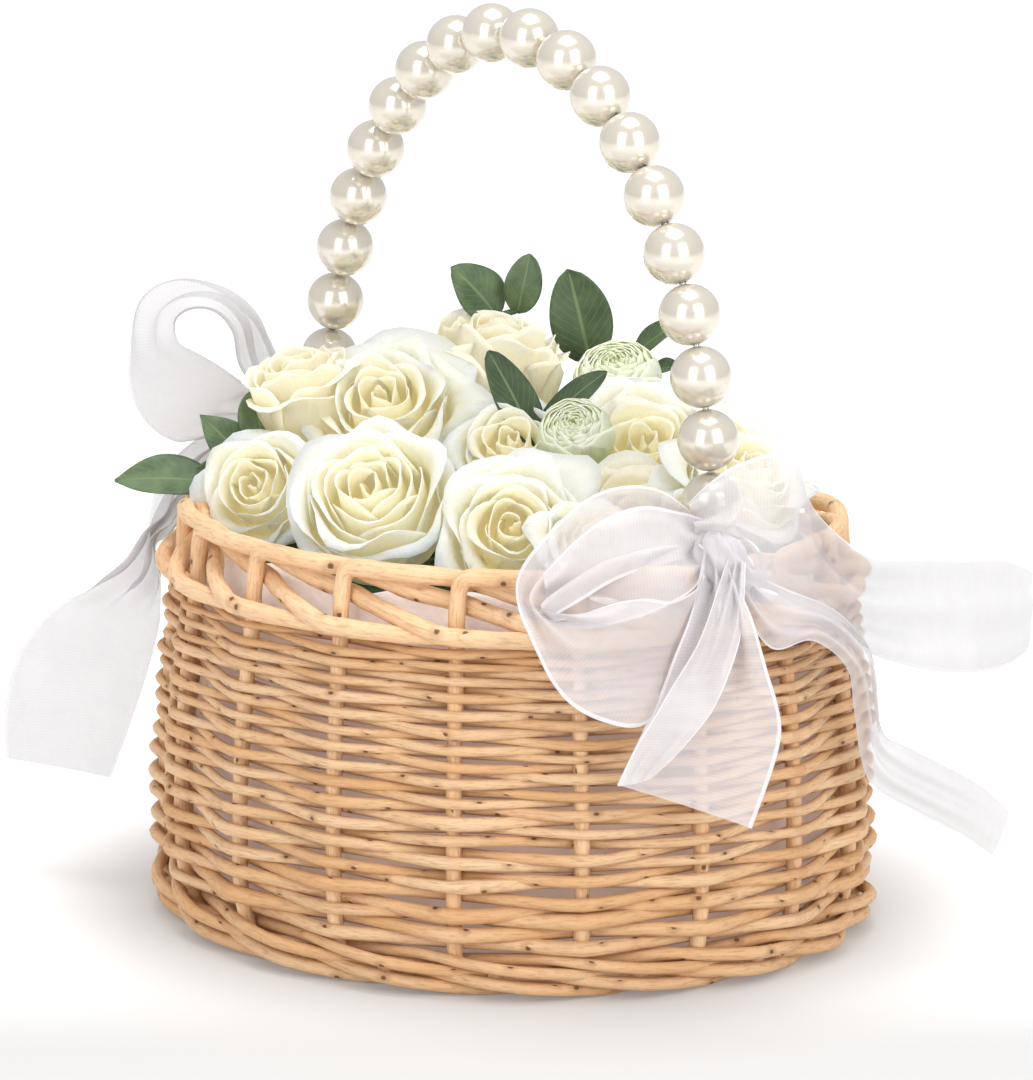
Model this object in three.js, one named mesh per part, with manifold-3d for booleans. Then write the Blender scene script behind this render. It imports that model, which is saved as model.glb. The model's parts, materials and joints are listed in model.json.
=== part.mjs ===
// Flower girl basket: an oval willow basket with a pearl arch handle, an organza
// bow at each handle foot, and roses with leaves set in a block of floral foam.
// Millimetres, +Z up. Origin: centre of the flat underside. The handle arch lies
// in the XZ plane, so its two feet are at +X and -X.
import * as THREE from 'three';
import { mergeVertices } from 'three/addons/utils/BufferGeometryUtils.js';
import Module from 'manifold-3d';

const wasm = await Module();
wasm.setup();

// ---- driving dimensions -------------------------------------------------------
const HALF_LONG = 120.4; // widest outside of the weave along X
const HALF_SHORT = 108.7; // widest outside of the weave along Y
const RIM_TOP = 125.8;
const WEAVE_TOP = 104;
const BULGE_LOW = 28; // the wall is widest between these two heights
const BULGE_HIGH = 40;
const FOOT_TUCK = 0.07; // how much narrower the wall is at z = 0
const RIM_TUCK = 0.083; // and at the rim
const SKIN = 4; // thickness of one layer of weavers
const GAP = 0.4; // clearance between neighbouring solids
const STAKES = 18;
const STAKE_RADIUS = 3;
const FIRST_STAKE = 10; // degrees
const STAKE_INSET = SKIN + STAKE_RADIUS + 0.7;
const INNER_SKIN = 2 * STAKE_INSET - SKIN + 0.2; // outer face of the inner weave layer
const BASE_TOP = 8;
const FOOT_WALE_TOP = 13;
const BORDER_BOTTOM = 117;
const BORDER_WIDTH = 12;
const TAIL_ROD_TOP = 112;
const LINER_OUT = 15.4;
const LINER_WALL = 1.2;
const LINER_TOP = 110;
const FOAM_INSET = LINER_OUT + LINER_WALL + 0.8;
const FOAM_TOP = 108;
const RING_SIDES = 36; // a multiple of the stakes, so that each stake sits on a corner
const PEARL_RADIUS = 9;
const PEARLS_PER_SIDE = 10;
const PEARL_PITCH = 18.35;
const PEARL_BORE = 1.75;
const WIRE_RADIUS = 0.9;
const ARCH_HALF = 95; // half width and height of the arch's centre line
const ARCH_RISE = 138;
const ARCH_BASE = 130;
const PIVOT_Z = 114.5; // the wire ends lie on this line, through the open border
const STEM_RADIUS = 1.8;
const STEM_FAN = -60; // all stems point at the axis at this height
const STEM_FOOT = 78; // height of the cut end of the stems inside the foam
const RIBBON = 38;
const RIBBON_THICK = 1;

const group = new THREE.Group();

// ---- finishes -----------------------------------------------------------------
const finish = (color, roughness, metalness = 0) => (
  new THREE.MeshStandardMaterial({ color, roughness, metalness }));
const willow = finish(0xd2a470, 0.6);
const willowPale = finish(0xdcb788, 0.6);
const pearl = finish(0xeee6da, 0.2);
const steel = finish(0xb8b6b2, 0.35, 1);
const petal = finish(0xfaf6dc, 0.7);
const greenPetal = finish(0xe6ecc6, 0.7);
const leaf = finish(0x4c6b45, 0.55);
const organza = finish(0xf3eef2, 0.8);
const foamGreen = finish(0x3f6f4a, 0.95);
const filmClear = finish(0xe9e2df, 0.4);

function addMesh(name, geometry, material) {
  const mesh = new THREE.Mesh(geometry, material);
  mesh.name = name;
  group.add(mesh);
  return mesh;
}

// ---- shared shape helpers -----------------------------------------------------
// How wide the wall is at a height, as a fraction of its widest.
function wallScale(z) {
  if (z < BULGE_LOW) return 1 - FOOT_TUCK * ((BULGE_LOW - z) / BULGE_LOW) ** 2.2;
  if (z > BULGE_HIGH) {
    return 1 - RIM_TUCK * ((z - BULGE_HIGH) / (RIM_TOP - BULGE_HIGH)) ** 1.7;
  }
  return 1;
}

// A point on the wall: inset millimetres inside the outer face.
function wallPoint(angle, z, inset) {
  const scale = wallScale(z);
  const x = (HALF_LONG * scale - inset) * Math.cos(angle);
  const y = (HALF_SHORT * scale - inset) * Math.sin(angle);
  return new THREE.Vector3(x, y, z);
}

// A lathe turned about Z whose profile is [inset, z]; null inset means the axis.
function wallLathe(profile, sides = RING_SIDES) {
  const far = 200;
  const outline = profile.map(([inset, z]) => (
    new THREE.Vector2(inset === null ? 0 : far - inset, z)));
  const geometry = new THREE.LatheGeometry(outline, sides);
  geometry.rotateX(Math.PI / 2);
  const place = geometry.getAttribute('position');
  for (let i = 0; i < place.count; i += 1) {
    const radius = Math.hypot(place.getX(i), place.getY(i));
    if (radius > 1) {
      const angle = Math.atan2(place.getY(i), place.getX(i));
      const point = wallPoint(angle, place.getZ(i), far - radius);
      place.setXYZ(i, point.x, point.y, point.z);
    }
  }
  return geometry;
}

// The closed profile of a wall layer between two insets, with corners at some heights.
function layer(outer, inner, heights) {
  const up = heights.map((z) => [outer, z]);
  const down = heights.map((z) => [inner, z]).reverse();
  return [...up, ...down, up[0]];
}

// The closed profile of a rod bundle: an ellipse between two insets and heights.
function bundle(outer, inner, bottom, top, points) {
  const profile = [];
  for (let i = 0; i <= points; i += 1) {
    const turn = 2 * Math.PI * (i % points) / points;
    const inset = (outer + inner) / 2 - (inner - outer) / 2 * Math.cos(turn);
    profile.push([inset, (bottom + top) / 2 + (top - bottom) / 2 * Math.sin(turn)]);
  }
  return profile;
}

function tubeAlong(curve, radius, sides, steps) {
  const section = new THREE.Shape();
  section.absarc(0, 0, radius, 0, 2 * Math.PI, false);
  return new THREE.ExtrudeGeometry(section, {
    steps, curveSegments: sides / 2, bevelEnabled: false, extrudePath: curve });
}

// A flat strip, such as a leaf or a ribbon: it runs along a curve, and widthAt and
// across give its width and its width direction at each point along it.
function stripAlong(points, steps, widthAt, across, thickness) {
  const curve = new THREE.CatmullRomCurve3(points.map((p) => new THREE.Vector3(...p)));
  const corners = [];
  for (let i = 0; i <= steps; i += 1) {
    const t = i / steps;
    const centre = curve.getPointAt(t);
    const along = curve.getTangentAt(t);
    const side = across.clone().addScaledVector(along, -across.dot(along)).normalize();
    const face = new THREE.Vector3().crossVectors(along, side);
    for (const [w, n] of [[1, 1], [-1, 1], [-1, -1], [1, -1]]) {
      const corner = centre.clone().addScaledVector(side, w * widthAt(t) / 2);
      corners.push(...corner.addScaledVector(face, n * thickness / 2).toArray());
    }
  }
  const index = [0, 3, 2, 0, 2, 1];
  for (let i = 0; i < steps; i += 1) {
    for (let k = 0; k < 4; k += 1) {
      const a = 4 * i + k;
      const b = 4 * i + (k + 1) % 4;
      index.push(a, b, b + 4, a, b + 4, a + 4);
    }
  }
  const last = 4 * steps;
  index.push(last, last + 1, last + 2, last, last + 2, last + 3);
  const geometry = new THREE.BufferGeometry();
  geometry.setAttribute('position', new THREE.Float32BufferAttribute(corners, 3));
  geometry.setIndex(index);
  return geometry;
}

// ---- booleans -----------------------------------------------------------------
function toSolid(geometry) {
  const bare = geometry.clone();
  bare.deleteAttribute('normal');
  bare.deleteAttribute('uv');
  const merged = mergeVertices(bare, 1e-3);
  return new wasm.Manifold(new wasm.Mesh({
    numProp: 3,
    vertProperties: new Float32Array(merged.getAttribute('position').array),
    triVerts: new Uint32Array(merged.getIndex().array),
  }));
}

function toGeometry(solid) {
  const mesh = solid.getMesh();
  const geometry = new THREE.BufferGeometry();
  geometry.setAttribute('position', new THREE.Float32BufferAttribute(mesh.vertProperties, 3));
  geometry.setIndex(Array.from(mesh.triVerts));
  return geometry;
}

// ---- willow body --------------------------------------------------------------
function buildBase() {
  const inset = INNER_SKIN + 0.2;
  const profile = [[null, 0], [inset + 1.5, 0], [inset, 1.5], [inset, BASE_TOP - 1.5],
    [inset + 1.5, BASE_TOP], [null, BASE_TOP]];
  addMesh('base', wallLathe(profile), willow);
}

function buildWeave() {
  addMesh('foot_wale', wallLathe(bundle(-0.8, SKIN, 0, FOOT_WALE_TOP, 8)), willow);
  const heights = [20, BULGE_LOW, 46, 66, 86, WEAVE_TOP];
  const outer = layer(0, SKIN, [FOOT_WALE_TOP + GAP, ...heights]);
  addMesh('side_weave_outer', wallLathe(outer), willow);
  const inner = layer(INNER_SKIN, INNER_SKIN + SKIN - 0.6, [BASE_TOP + GAP, 14, ...heights]);
  addMesh('side_weave_inner', wallLathe(inner), willow);
}

function buildStakesAndBorder() {
  let cage = toSolid(wallLathe(bundle(0, BORDER_WIDTH, BORDER_BOTTOM, RIM_TOP, 8)));
  for (let k = 0; k < STAKES; k += 1) {
    const angle = THREE.MathUtils.degToRad(FIRST_STAKE + 360 * k / STAKES);
    const heights = [3, 10, 20, 40, 60, 80, 100, 119];
    const points = heights.map((z) => wallPoint(angle, z, STAKE_INSET));
    const curve = new THREE.CatmullRomCurve3(points);
    cage = cage.add(toSolid(tubeAlong(curve, STAKE_RADIUS, 6, 8)));
  }
  addMesh('stakes_and_border', toGeometry(cage), willowPale);
}

function buildBorderTails() {
  const profile = bundle(-1.2, SKIN, WEAVE_TOP + GAP, TAIL_ROD_TOP, 8);
  addMesh('border_tail_rods', wallLathe(profile), willowPale);
}

// ---- liner and foam -----------------------------------------------------------
function buildLiner() {
  const floor = BASE_TOP + GAP;
  const inner = LINER_OUT + LINER_WALL;
  const heights = [floor, 22, 45, 68, 90, LINER_TOP];
  const profile = [[null, floor]];
  heights.forEach((z) => profile.push([LINER_OUT, z]));
  heights.slice(1).reverse().forEach((z) => profile.push([inner, z]));
  profile.push([inner, floor + LINER_WALL], [null, floor + LINER_WALL]);
  addMesh('liner', wallLathe(profile), filmClear);
}

// ---- flowers ------------------------------------------------------------------
// Each flower: name, centre of the head, head radius, and whether it is greenish.
const FLOWERS = [
  ['rose_front_left', [-51, -57, 133], 15, false],
  ['rose_front_middle', [0, -54, 136], 19, false],
  ['rose_front_right', [44, -37, 134], 17, false],
  ['rose_upper_left', [-40, -15, 154], 13.8, false],
  ['rose_centre', [3, -9, 147], 12.5, false],
  ['rose_back_left', [-66, -26, 157], 13.8, false],
  ['rose_back_bud', [-53, 33, 161], 16, false],
  ['rose_right', [20, 42, 147], 16, false],
  ['rose_right_rear', [63, 38, 142], 14, false],
  ['rose_right_low', [50, 2, 135], 13.8, false],
  ['ranunculus_back', [-17, 59, 160], 13, true],
  ['ranunculus_middle', [23, 7, 150], 11.5, true],
  ['rose_fill_left', [-72, 22, 138], 11, false],
  ['rose_fill_back_left', [-52, 54, 131], 9, false],
  ['rose_fill_back', [-3, 72, 136], 12, false],
  ['rose_fill_back_right', [35, 65, 136], 12, false],
  ['rose_fill_foot', [74, 11, 133], 9, false],
  ['rose_fill_front_right', [74, -28, 133], 10.5, false],
];

function flowerAxis(centre) {
  return new THREE.Vector3(centre[0], centre[1], centre[2] - STEM_FAN).normalize();
}

// Turn a geometry made along +Z so that it points along an axis from a place.
function aim(geometry, axis, place) {
  const turn = new THREE.Quaternion();
  turn.setFromUnitVectors(new THREE.Vector3(0, 0, 1), axis);
  geometry.applyQuaternion(turn);
  geometry.translate(...place);
  return geometry;
}

function stemLength(centre) {
  return (centre[2] - STEM_FOOT) / flowerAxis(centre).z;
}

function buildFlower([name, centre, radius, greenish]) {
  const profile = [[0, -stemLength(centre)], [STEM_RADIUS, -stemLength(centre)],
    [STEM_RADIUS, -0.92 * radius], [0.55 * radius, -0.72 * radius], [0.84 * radius, -0.3 * radius],
    [0.92 * radius, 0.1 * radius], [0.78 * radius, 0.5 * radius], [0.4 * radius, 0.66 * radius],
    [0, 0.6 * radius]];
  const outline = profile.map(([r, z]) => new THREE.Vector2(r, z));
  const geometry = new THREE.LatheGeometry(outline, 9);
  geometry.rotateX(Math.PI / 2);
  addMesh(name, aim(geometry, flowerAxis(centre), centre), greenish ? greenPetal : petal);
}

// Each sprig: name, the points from its cut end to its tip, and its leaf width.
const SPRIGS = [
  ['sprig_back', [[-68, 41, 92], [-69, 42, 130], [-68, 43, 160], [-60, 52, 190]], 17],
  ['sprig_back_right', [[-38, 62, 92], [-39, 62, 130], [-42, 62, 155], [-43, 58, 184]], 19],
  ['sprig_far_right', [[-24, 72, 92], [-25, 73, 130], [-26, 75, 152], [-16, 82, 172]], 12],
  ['sprig_middle', [[5, 11, 92], [5, 10, 130], [3, 9, 150], [-11, 3, 172]], 12],
  ['sprig_left', [[-70, -38, 92], [-71, -40, 120], [-79, -52, 134], [-104, -76, 128]], 15],
];

function buildSprig([name, points, width]) {
  const stem = 2 * STEM_RADIUS;
  const bladeFrom = 0.62;
  const widthAt = (t) => {
    if (t < bladeFrom) return stem;
    const blade = Math.sin(Math.PI * (t - bladeFrom) / (1.04 - bladeFrom));
    return Math.max(1, stem * (1 - t) + width * blade);
  };
  const facing = new THREE.Vector3(0.616, 0.788, 0);
  addMesh(name, stripAlong(points, 16, widthAt, facing, 1.4), leaf);
}

function buildFoam() {
  const profile = [[null, 10], [FOAM_INSET + 2, 10], [FOAM_INSET, 13], [FOAM_INSET, 50],
    [FOAM_INSET, 80], [FOAM_INSET, FOAM_TOP - 4], [FOAM_INSET + 4, FOAM_TOP], [null, FOAM_TOP]];
  let block = toSolid(wallLathe(profile, 36));
  const clearance = STEM_RADIUS + GAP;
  for (const [, centre] of FLOWERS) {
    const length = stemLength(centre) + 0.5;
    const hole = new THREE.CylinderGeometry(clearance, clearance, length, 8);
    hole.rotateX(Math.PI / 2);
    hole.translate(0, 0, -length / 2);
    block = block.subtract(toSolid(aim(hole, flowerAxis(centre), centre)));
  }
  for (const [, points] of SPRIGS) {
    const foot = points[0];
    const slot = new THREE.CylinderGeometry(3, 3, 40, 8);
    slot.rotateX(Math.PI / 2);
    slot.translate(foot[0], foot[1], foot[2] + 19.5);
    block = block.subtract(toSolid(slot));
  }
  addMesh('floral_foam', toGeometry(block), foamGreen);
}

// ---- pearl handle -------------------------------------------------------------
function archPoint(turn) {
  return new THREE.Vector3(ARCH_HALF * Math.sin(turn), 0, ARCH_BASE + ARCH_RISE * Math.cos(turn));
}

// Turns from the top of the arch at which the pearls of one side sit, a pitch apart.
function pearlTurns() {
  const turns = [];
  let last = archPoint(0);
  let reach = PEARL_PITCH / 2;
  for (let turn = 0; turns.length < PEARLS_PER_SIDE; turn += 0.0002) {
    const here = archPoint(turn);
    if (here.distanceTo(last) >= reach) {
      turns.push(turn);
      last = here;
      reach = PEARL_PITCH;
    }
  }
  return turns;
}

function pearlGeometry() {
  const half = Math.acos(PEARL_BORE / PEARL_RADIUS);
  const outline = [];
  for (let i = 0; i <= 6; i += 1) {
    const lift = -half + 2 * half * i / 6;
    outline.push(new THREE.Vector2(PEARL_RADIUS * Math.cos(lift), PEARL_RADIUS * Math.sin(lift)));
  }
  outline.push(outline[0].clone());
  const geometry = new THREE.LatheGeometry(outline, 9);
  geometry.rotateX(Math.PI / 2);
  return geometry;
}

function buildPearls() {
  const turns = pearlTurns();
  const all = [...turns.slice().reverse(), ...turns.map((turn) => -turn)];
  all.forEach((turn, i) => {
    const along = new THREE.Vector3(
      ARCH_HALF * Math.cos(turn), 0, -ARCH_RISE * Math.sin(turn)).normalize();
    const geometry = aim(pearlGeometry(), along, archPoint(turn).toArray());
    addMesh(`pearl_${String(i + 1).padStart(2, '0')}`, geometry, pearl);
  });
}

// The wire runs through the pearls, out over the border, down outside it and in
// through the open border, where its straight ends lie on the pivot line.
function buildWire() {
  const foot = [[104, PIVOT_Z], [112, PIVOT_Z], [116.6, PIVOT_Z + 0.6], [118.2, PIVOT_Z + 3],
    [118.2, 122], [116, 128], [110.5, 131], [104, 130.8], [98.5, 129.6], [95.8, 129.4], [95, 131.6]];
  const points = foot.map(([x, z]) => new THREE.Vector3(x, 0, z));
  const lowest = pearlTurns().at(-1);
  const runs = 24;
  for (let i = 0; i <= runs; i += 1) points.push(archPoint(lowest * (1 - 2 * i / runs)));
  foot.slice().reverse().forEach(([x, z]) => points.push(new THREE.Vector3(-x, 0, z)));
  const curve = new THREE.CatmullRomCurve3(points);
  addMesh('handle_wire', tubeAlong(curve, WIRE_RADIUS, 6, 84), steel);
}

// ---- organza bows -------------------------------------------------------------
function ellipsoid(centre, radii) {
  const geometry = new THREE.SphereGeometry(1, 14, 10);
  geometry.scale(...radii);
  geometry.translate(...centre);
  return geometry;
}

function ribbon(name, points, across, steps = 14, width = RIBBON) {
  const side = new THREE.Vector3(...across);
  addMesh(name, stripAlong(points, steps, () => width, side, RIBBON_THICK), organza);
}

function buildBows() {
  addMesh('bow_right_knot', ellipsoid([126, -3, 128], [6, 8, 8]), organza);
  ribbon('bow_right_loops', [[128, -14, 127], [126, -34, 122], [116, -56, 118], [108, -70, 112]],
    [0, 0, 1], 10, 60);
  ribbon('bow_right_tails', [[131, -4, 104], [132, -5, 84], [130, -7, 48]], [-0.3, 0.95, 0], 8, 44);
  ribbon('bow_right_tail_far', [[128, 8, 126], [126, 32, 116], [124, 62, 104], [124, 97, 99]],
    [0, 0, 1]);
  ribbon('bow_right_tail_low', [[131, 24, 92], [127, 44, 74], [122, 66, 54], [119, 90, 40]],
    [0, 0, 1], 12, 30);
  addMesh('bow_left_knot', ellipsoid([-126, -3, 128], [6, 8, 8]), organza);
  const loop = [];
  for (let i = 0; i <= 12; i += 1) {
    const turn = THREE.MathUtils.degToRad(-70 - 320 * i / 12);
    const sideways = -19 + 22 * Math.cos(turn);
    loop.push([-120 + 0.616 * sideways, -6 + 0.788 * sideways, 157 + 27 * Math.sin(turn)]);
  }
  ribbon('bow_left_loop', loop, [0.788, -0.616, 0], 22, 24);
  ribbon('bow_left_tail', [[-128, -18, 110], [-121, -47, 103], [-113, -79, 84], [-105, -97, 60],
    [-99, -104, 38]], [0, -0.6, 0.8]);
}

// ---- assembly -----------------------------------------------------------------
buildBase();
buildWeave();
buildStakesAndBorder();
buildBorderTails();
buildLiner();
buildFoam();
FLOWERS.forEach(buildFlower);
SPRIGS.forEach(buildSprig);
buildPearls();
buildWire();
buildBows();

export default group;
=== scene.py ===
import json
import math
import random

import bpy
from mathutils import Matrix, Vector


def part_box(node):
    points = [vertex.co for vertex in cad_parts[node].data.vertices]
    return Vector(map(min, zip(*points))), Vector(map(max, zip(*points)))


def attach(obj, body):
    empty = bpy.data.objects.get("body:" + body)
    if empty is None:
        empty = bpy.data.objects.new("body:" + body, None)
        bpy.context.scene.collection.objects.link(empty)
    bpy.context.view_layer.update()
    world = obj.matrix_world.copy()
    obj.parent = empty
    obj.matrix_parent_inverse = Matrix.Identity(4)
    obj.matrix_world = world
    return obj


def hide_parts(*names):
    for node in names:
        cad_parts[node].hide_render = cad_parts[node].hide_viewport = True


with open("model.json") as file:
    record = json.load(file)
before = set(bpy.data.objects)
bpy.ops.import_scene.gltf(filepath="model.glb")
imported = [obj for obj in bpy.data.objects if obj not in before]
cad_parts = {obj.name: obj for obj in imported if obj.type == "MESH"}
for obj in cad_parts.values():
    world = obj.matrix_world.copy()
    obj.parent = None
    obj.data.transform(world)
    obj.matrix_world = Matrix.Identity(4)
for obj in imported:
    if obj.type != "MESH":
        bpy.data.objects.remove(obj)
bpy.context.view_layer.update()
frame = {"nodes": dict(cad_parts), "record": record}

MM = 0.001
CAMERA_AZIMUTH = 52.03  # degrees from the -Y direction, towards +X
CAMERA_REACH = 1596.7
CAMERA_HEIGHT = 440.3
CAMERA_DIP = 11.56
CAMERA_YAW = -0.058
CAMERA_LENS = 178.5


def node_box(name):
    low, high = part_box(name)
    return Vector(low) / MM, Vector(high) / MM


# The side of the basket that the bows and flowers face looks along LOOK.
LOOK = Vector((math.sin(math.radians(CAMERA_AZIMUTH)), -math.cos(math.radians(CAMERA_AZIMUTH)), 0))
SIDE = Vector((LOOK.y * -1, LOOK.x, 0))


def spot(side, out, up):
    """A point given by how far it lies to the right, to the front and up, seen from
    the side of the basket that the bows and flowers face."""
    return SIDE * side + LOOK * out + Vector((0, 0, up))


# ---- camera ---------------------------------------------------------------------
def make_camera():
    turn = math.radians(CAMERA_AZIMUTH)
    camera = bpy.data.objects.new("camera", bpy.data.cameras.new("camera"))
    bpy.context.scene.collection.objects.link(camera)
    camera.location = Vector((math.sin(turn) * CAMERA_REACH, -math.cos(turn) * CAMERA_REACH,
                              CAMERA_HEIGHT)) * MM
    camera.rotation_euler = (math.radians(90 - CAMERA_DIP), 0, turn + math.radians(CAMERA_YAW))
    camera.data.lens = CAMERA_LENS
    camera.data.clip_end = 50
    bpy.context.scene.camera = camera


# ---- shader maths ---------------------------------------------------------------
class Term:
    """One socket of a material. Arithmetic on it adds Math nodes."""

    def __init__(self, finish, socket):
        self.finish = finish
        self.socket = socket

    def _maths(self, operation, *values):
        return self.finish.node("Math", {"operation": operation}, values)

    def __add__(self, other):
        return self._maths("ADD", self, other)

    def __radd__(self, other):
        return self._maths("ADD", other, self)

    def __sub__(self, other):
        return self._maths("SUBTRACT", self, other)

    def __rsub__(self, other):
        return self._maths("SUBTRACT", other, self)

    def __mul__(self, other):
        return self._maths("MULTIPLY", self, other)

    def __rmul__(self, other):
        return self._maths("MULTIPLY", other, self)

    def __pow__(self, other):
        return self._maths("POWER", self, other)

    def over(self, limit):
        return self._maths("GREATER_THAN", self, limit)

    def size(self):
        return self._maths("ABSOLUTE", self)

    def wave(self):
        return self._maths("SINE", self)

    def ramp(self, start, end):
        """0 at start and 1 at end, smooth between them."""
        settings = {"interpolation_type": "SMOOTHSTEP"}
        return self.finish.node("MapRange", settings, {"Value": self, "From Min": start,
                                                       "From Max": end})


class Finish:
    """A material round one Principled shader."""

    def __init__(self, name, **constants):
        self.material = bpy.data.materials.new(name)
        self.material.use_nodes = True
        self.tree = self.material.node_tree
        self.shader = self.tree.nodes["Principled BSDF"]
        self.set(**constants)

    def node(self, kind, settings=None, values=(), output=0):
        made = self.tree.nodes.new("ShaderNode" + kind)
        for key, value in (settings or {}).items():
            if key == "stops":
                self._fill_ramp(made, value)
            else:
                setattr(made, key, value)
        pairs = values.items() if isinstance(values, dict) else enumerate(values)
        for key, value in pairs:
            self._feed(made.inputs[key], value)
        return Term(self, made.outputs[output])

    def _fill_ramp(self, made, stops):
        ramp = made.color_ramp
        for place, colour in stops[2:]:
            ramp.elements.new(place)
        for element, (place, colour) in zip(ramp.elements, stops):
            element.position = place
            element.color = (*colour, 1)

    def _feed(self, socket, value):
        if isinstance(value, Term):
            self.tree.links.new(value.socket, socket)
        elif socket.type == "RGBA" and len(value) == 3:
            socket.default_value = (*value, 1)
        else:
            socket.default_value = value

    def set(self, **sockets):
        for name, value in sockets.items():
            self._feed(self.shader.inputs[name.replace("_", " ")], value)

    def mix(self, amount, first, second):
        made = self.tree.nodes.new("ShaderNodeMix")
        made.data_type = "RGBA"
        self._feed(made.inputs[0], amount)
        self._feed(made.inputs[6], first)
        self._feed(made.inputs[7], second)
        return Term(self, made.outputs[2])

    def uv(self, across=1, along=1):
        place = self.node("UVMap", {"uv_map": "UVMap"})
        return self.node("VectorMath", {"operation": "MULTIPLY"}, [place, (across, along, 1)])

    def uv_parts(self):
        parts = self.node("SeparateXYZ", None, [self.node("UVMap", {"uv_map": "UVMap"})])
        return parts, Term(self, parts.socket.node.outputs[1])

    def place(self):
        return self.node("TexCoord", None, (), "Object")

    def noise(self, where, scale, detail=3, roughness=0.55):
        values = {"Vector": where, "Scale": scale, "Detail": detail, "Roughness": roughness}
        return self.node("TexNoise", None, values)

    def tone(self, name="tone"):
        return self.node("Attribute", {"attribute_name": name}, (), "Fac")

    def bump(self, height, strength, distance=0.001):
        values = {"Strength": strength, "Distance": distance, "Height": height}
        self.set(Normal=self.node("Bump", None, values))


# ---- finishes -------------------------------------------------------------------
def willow_finish(name, pale, warm, dark):
    made = Finish(name, Specular_IOR_Level=0.35)
    fibre = made.noise(made.uv(0.16, 5), 9, 4, 0.6)
    streak = made.noise(made.uv(0.03, 3), 6, 3, 0.6)
    patch = made.noise(made.place(), 60, 2)
    shade = made.noise(made.uv(0.012, 0), 1.7, 1)
    body = made.mix((made.tone() * 0.7 + shade.ramp(0.35, 0.7) * 0.5).ramp(0.1, 1.1), pale, warm)
    body = made.mix(streak.ramp(0.46, 0.72) * 0.6, body, dark)
    body = made.mix(fibre.ramp(0.5, 0.8) * 0.3, body, dark)
    body = made.mix(patch.ramp(0.5, 0.75) * 0.35, body, warm)
    cells = made.node("TexVoronoi", {"voronoi_dimensions": "2D"},
                      {"Vector": made.uv(0.075, 1.1), "Scale": 1.0}, "Distance")
    some = made.noise(made.uv(0.02, 1), 3.0, 0)
    knot = (1 - cells.ramp(0.035, 0.085)) * some.over(0.5)
    ring = (1 - cells.ramp(0.085, 0.24)) * some.over(0.5)
    body = made.mix(ring * 0.45, body, dark)
    body = made.mix(knot * 0.85, body, (0.075, 0.03, 0.012))
    made.set(Base_Color=body, Roughness=0.42 + fibre * 0.25)
    made.bump(fibre * 0.7 + streak * 0.6 - knot, 0.45, 0.0006)
    return made.material


def pearl_finish():
    made = Finish("pearl lacquer", Coat_Roughness=0.05, IOR=1.6)
    patch = made.noise(made.place(), 55, 2)
    painted_rim_sheen = made.node("LayerWeight", None, {"Blend": 0.35}, "Facing")
    body = made.mix(patch, (0.71, 0.655, 0.555), (0.77, 0.72, 0.63))
    # Painted sheen: the body colour turns paler towards the pearl's outline, where the surface
    # turns away from the view.
    body = made.mix(painted_rim_sheen.ramp(0.3, 1.0) * 0.6, body, (0.86, 0.83, 0.77))
    made.set(Base_Color=body, Roughness=0.17 + patch * 0.05, Metallic=0.5, Coat_Weight=0.6)
    made.bump(patch, 0.02, 0.0004)
    return made.material


def wire_finish():
    made = Finish("handle wire", Metallic=1.0)
    grain = made.noise(made.place(), 900, 3)
    made.set(Base_Color=made.mix(grain, (0.50, 0.48, 0.45), (0.66, 0.64, 0.60)),
             Roughness=0.25 + grain * 0.2)
    return made.material


def petal_finish(name, heart, body, edge, glow):
    made = Finish(name, Subsurface_Weight=glow, Subsurface_Radius=(0.005, 0.0045, 0.003),
                  Subsurface_Scale=1.0, Specular_IOR_Level=0.2,
                  Emission_Color=(*body, 1.0))
    along = made.uv_parts()[1]
    layer = made.tone()
    vein = made.noise(made.uv(34, 2.2), 3.2, 3, 0.6)
    patch = made.noise(made.place(), 75, 2)
    reach = along * 0.85 + layer * 0.28
    colour = made.mix(reach.ramp(0.25, 0.9), heart, body)
    colour = made.mix((reach + patch * 0.45).ramp(1.06, 1.40), colour, edge)
    colour = made.mix(vein.ramp(0.42, 0.75) * 0.3, colour, heart)
    # Painted light: the petals also emit their body colour. The glow is strongest (0.17) at petal
    # bases and on the inner layers, and fades to 0.06 towards the outer tips, which lifts the shade
    # in each flower's heart.
    made.set(Base_Color=colour, Roughness=0.45 + vein * 0.2,
             Emission_Strength=0.17 - reach.ramp(0.2, 0.95) * 0.11)
    made.bump(vein + patch, 0.45, 0.0008)
    return made.material


def leaf_finish(name, dark, light, vein_colour):
    made = Finish(name, Specular_IOR_Level=0.4)
    across, along = made.uv_parts()
    centre = (across - 0.5).size()
    side = ((along * 62 - centre * 42).wave() + 1) * 0.5
    veins = side.ramp(0.93, 1.0) * centre.ramp(0.02, 0.1)
    midrib = 1 - centre.ramp(0.008, 0.05)
    patch = made.noise(made.place(), 120, 4)
    body = made.mix(patch.ramp(0.3, 0.72), dark, light)
    body = made.mix(made.tone(), made.mix(0.62, body, (0.012, 0.028, 0.010)), body)
    lines = made.node("Math", {"operation": "MAXIMUM"}, [veins * 0.35, midrib * 0.8])
    made.set(Base_Color=made.mix(lines, body, vein_colour), Roughness=0.4 + patch * 0.25)
    made.bump(patch * 0.4 - lines * 0.9, 0.4, 0.0006)
    return made.material


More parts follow.
